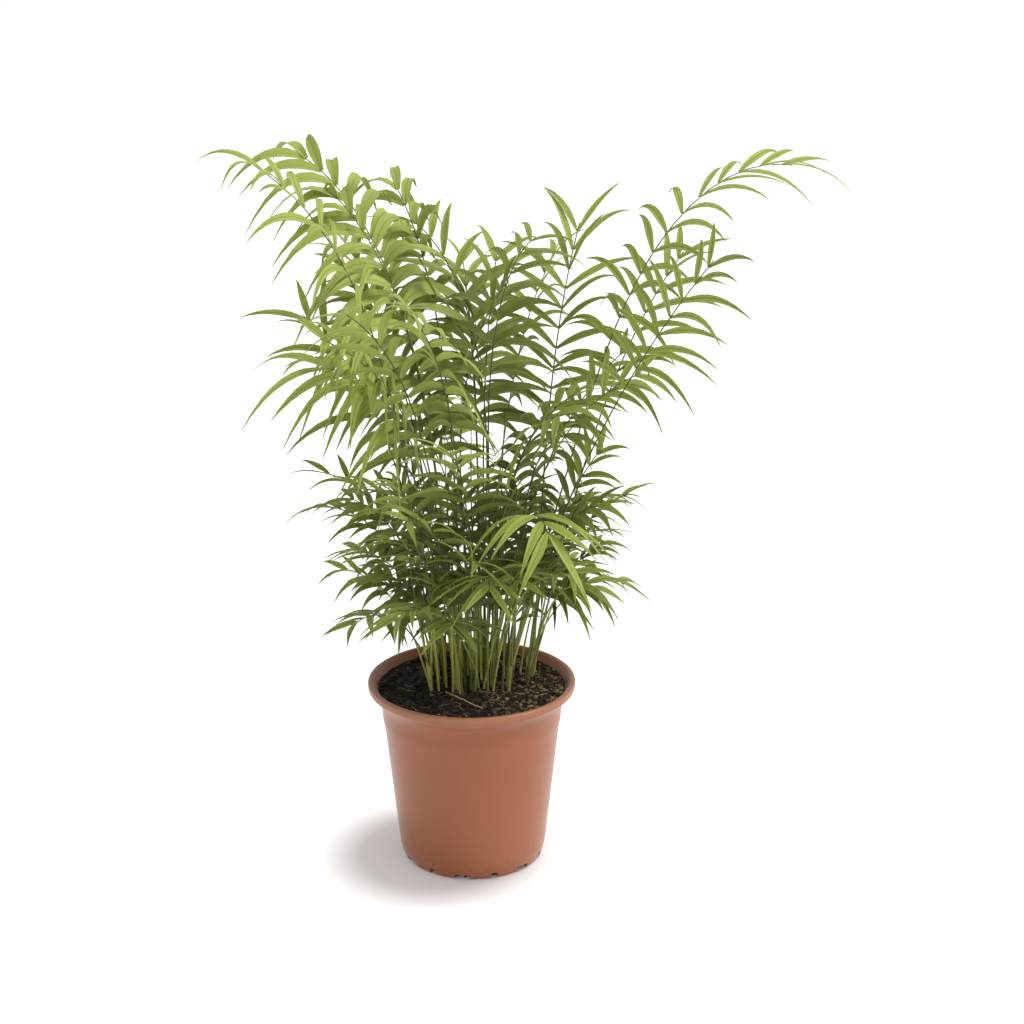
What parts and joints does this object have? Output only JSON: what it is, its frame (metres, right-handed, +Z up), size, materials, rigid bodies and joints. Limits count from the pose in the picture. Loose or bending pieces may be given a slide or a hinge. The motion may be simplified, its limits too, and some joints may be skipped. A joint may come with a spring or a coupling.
{
  "type": "potted palm",
  "caption": "Young feather-leaved parlour palm growing as a dense clump in a round, tapered, terracotta-coloured plastic nursery pot.",
  "frame": {"origin": "centre of the pot's underside, on the surface it stands on", "axes": "+Z up along the pot's axis, -Y the front, +X to the right seen from the front"},
  "size_m": [0.4968, 0.4261, 0.5858],
  "materials": {
    "pot_plastic": "satin moulded plastic, terracotta brown",
    "potting_soil": "dark crumbly peat and bark, no sheen",
    "cane_green": "pale green sheathed stem, slight sheen",
    "leaf_green": "thin mid-green leaf, soft satin sheen, a little light comes through"
  },
  "bodies": {
    "root": {"pot": "pot_plastic", "soil": "potting_soil", "cane_01": "cane_green", "cane_02": "cane_green", "cane_03": "cane_green", "cane_04": "cane_green", "cane_05": "cane_green", "cane_06": "cane_green", "cane_07": "cane_green", "cane_08": "cane_green", "cane_09": "cane_green", "cane_10": "cane_green", "cane_11": "cane_green", "cane_12": "cane_green", "cane_13": "cane_green", "cane_14": "cane_green", "frond_01": "leaf_green", "frond_02": "leaf_green", "frond_03": "leaf_green", "frond_04": "leaf_green", "frond_05": "leaf_green", "frond_06": "leaf_green", "frond_07": "leaf_green", "frond_08": "leaf_green", "frond_09": "leaf_green", "frond_10": "leaf_green", "frond_11": "leaf_green", "frond_12": "leaf_green", "frond_13": "leaf_green", "frond_14": "leaf_green", "frond_15": "leaf_green", "frond_16": "leaf_green", "frond_17": "leaf_green", "frond_18": "leaf_green", "frond_19": "leaf_green", "frond_20": "leaf_green", "frond_21": "leaf_green", "frond_22": "leaf_green", "frond_23": "leaf_green", "frond_24": "leaf_green", "frond_25": "leaf_green", "frond_26": "leaf_green", "frond_27": "leaf_green", "frond_28": "leaf_green", "frond_29": "leaf_green", "frond_30": "leaf_green", "frond_31": "leaf_green", "frond_32": "leaf_green", "frond_33": "leaf_green", "frond_34": "leaf_green", "frond_35": "leaf_green", "frond_36": "leaf_green", "frond_37": "leaf_green", "frond_38": "leaf_green", "frond_39": "leaf_green", "frond_40": "leaf_green", "frond_41": "leaf_green", "frond_42": "leaf_green"}
  },
  "joints": []
}
